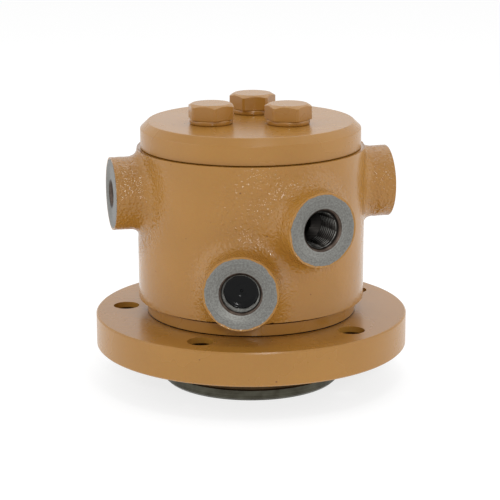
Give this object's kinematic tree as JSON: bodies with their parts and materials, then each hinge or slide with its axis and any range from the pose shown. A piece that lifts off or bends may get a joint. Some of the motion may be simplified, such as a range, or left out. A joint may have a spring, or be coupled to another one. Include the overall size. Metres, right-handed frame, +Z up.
{
  "type": "hydraulic rotary union",
  "caption": "Flanged stem with a painted cast housing that turns on it, radial threaded oil ports in bosses and a bolted round cover.",
  "frame": {"origin": "centre of the stem's bottom face, on the turning axis", "axes": "+Z up along the turning axis from the flange to the cover; -Y is the front, midway between the two front bosses; +X runs along the right side boss"},
  "size_m": [0.18, 0.18, 0.1627],
  "materials": {
    "painted_casting": "semi-gloss ochre paint over a rough casting, bare machined boss faces",
    "painted_stem": "semi-gloss ochre paint on the flange and step, bare turned steel on the register and journal",
    "painted_cover": "semi-gloss ochre paint over a turned face",
    "painted_bolt": "semi-gloss ochre paint over the head, plain steel shank",
    "painted_washer": "ochre paint over spring steel",
    "slipper_seal": "bronze-filled PTFE",
    "bearing_bronze": "turned bearing bronze",
    "rubber_seal": "matt black nitrile rubber",
    "black_plastic": "glossy black polyethylene",
    "hardened_pin": "ground steel"
  },
  "bodies": {
    "stem": {"stem": "painted_stem", "cover": "painted_cover", "cover_bolt_1": "painted_bolt", "cover_bolt_2": "painted_bolt", "cover_bolt_3": "painted_bolt", "spring_washer_1": "painted_washer", "spring_washer_2": "painted_washer", "spring_washer_3": "painted_washer", "cover_dowel": "hardened_pin"},
    "housing": {"housing": "painted_casting", "pressure_seal_1": "slipper_seal", "pressure_seal_2": "slipper_seal", "pressure_seal_3": "slipper_seal", "pressure_seal_4": "slipper_seal", "thrust_washer_lower": "bearing_bronze", "thrust_washer_upper": "bearing_bronze", "dust_seal_lower": "rubber_seal", "dust_seal_upper": "rubber_seal", "port_plug": "black_plastic"}
  },
  "joints": [
    {"name": "housing_turn", "type": "hinge", "parent": "stem", "child": "housing", "pos_m": [0, 0, 0.0927], "axis": [0, 0, 1], "continuous": true}
  ]
}
